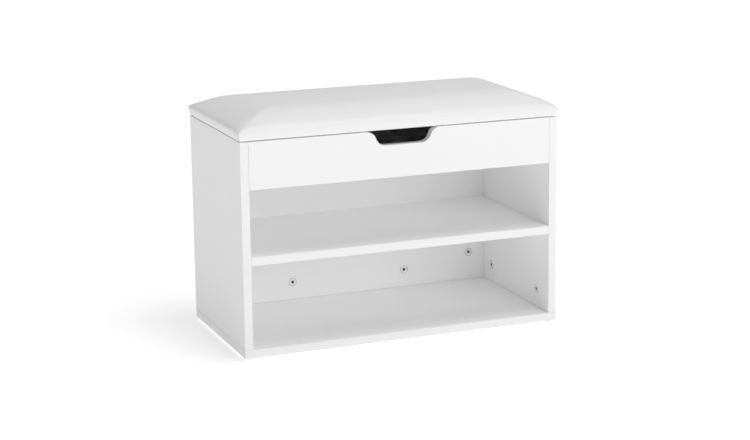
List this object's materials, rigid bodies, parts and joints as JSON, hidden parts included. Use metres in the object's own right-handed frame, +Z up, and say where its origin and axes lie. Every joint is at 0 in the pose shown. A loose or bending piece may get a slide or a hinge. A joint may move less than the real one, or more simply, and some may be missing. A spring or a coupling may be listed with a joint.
{
  "type": "entryway storage bench",
  "caption": "Entryway bench with two open shoe tiers and a storage box under a padded, hinged seat lid with a finger notch.",
  "frame": {"origin": "on the floor, under the middle of the box that holds the whole bench, hinge barrels included", "axes": "+X to the bench's right as seen from its open front, +Y to its back, +Z up; the open front faces -Y"},
  "size_m": [0.6, 0.3082, 0.43],
  "materials": {
    "white_board": "satin white laminate with banded edges",
    "raw_chipboard": "raw chipboard",
    "seat_leatherette": "semi-matt fine-grained white leatherette",
    "seat_foam": "cream open-cell foam",
    "lid_lining": "black non-woven fleece",
    "zinc": "dull die-cast zinc",
    "steel": "bright zinc-plated steel",
    "white_plastic": "satin moulded plastic",
    "pale_rubber": "translucent pale rubber"
  },
  "bodies": {
    "carcass": {"bottom_panel": "white_board", "left_side_panel": "white_board", "right_side_panel": "white_board", "back_panel": "white_board", "shelf": "white_board", "storage_floor": "white_board", "front_apron": "white_board", "left_hinge_body_leaf": "steel", "left_hinge_pin": "steel", "left_hinge_body_screw_left": "steel", "left_hinge_body_screw_right": "steel", "left_front_glide": "white_plastic", "left_rear_glide": "white_plastic", "left_bumper": "pale_rubber", "left_side_front_cam": "zinc", "left_side_front_cam_bolt": "steel", "left_side_rear_cam": "zinc", "left_side_rear_cam_bolt": "steel", "back_left_lower_cam": "zinc", "back_left_lower_cam_bolt": "steel", "back_left_end_cam": "zinc", "back_left_end_cam_bolt": "steel", "shelf_left_front_cam": "zinc", "shelf_left_front_cam_bolt": "steel", "shelf_left_rear_cam": "zinc", "shelf_left_rear_cam_bolt": "steel", "storage_left_cam": "zinc", "storage_left_cam_bolt": "steel", "right_hinge_body_leaf": "steel", "right_hinge_pin": "steel", "right_hinge_body_screw_left": "steel", "right_hinge_body_screw_right": "steel", "right_front_glide": "white_plastic", "right_rear_glide": "white_plastic", "right_bumper": "pale_rubber", "right_side_front_cam": "zinc", "right_side_front_cam_bolt": "steel", "right_side_rear_cam": "zinc", "right_side_rear_cam_bolt": "steel", "back_right_lower_cam": "zinc", "back_right_lower_cam_bolt": "steel", "back_right_end_cam": "zinc", "back_right_end_cam_bolt": "steel", "shelf_right_front_cam": "zinc", "shelf_right_front_cam_bolt": "steel", "shelf_right_rear_cam": "zinc", "shelf_right_rear_cam_bolt": "steel", "storage_right_cam": "zinc", "storage_right_cam_bolt": "steel"},
    "lid": {"lid_board": "raw_chipboard", "seat_foam": "seat_foam", "seat_cover": "seat_leatherette", "lid_lining": "lid_lining", "left_hinge_lid_leaf": "steel", "left_hinge_lid_screw_left": "steel", "left_hinge_lid_screw_right": "steel", "right_hinge_lid_leaf": "steel", "right_hinge_lid_screw_left": "steel", "right_hinge_lid_screw_right": "steel"}
  },
  "joints": [
    {"name": "lid_hinge", "type": "hinge", "parent": "carcass", "child": "lid", "pos_m": [0, 0.15015, 0.3827], "axis": [-1, 0, 0], "range_deg": [0, 95]}
  ]
}
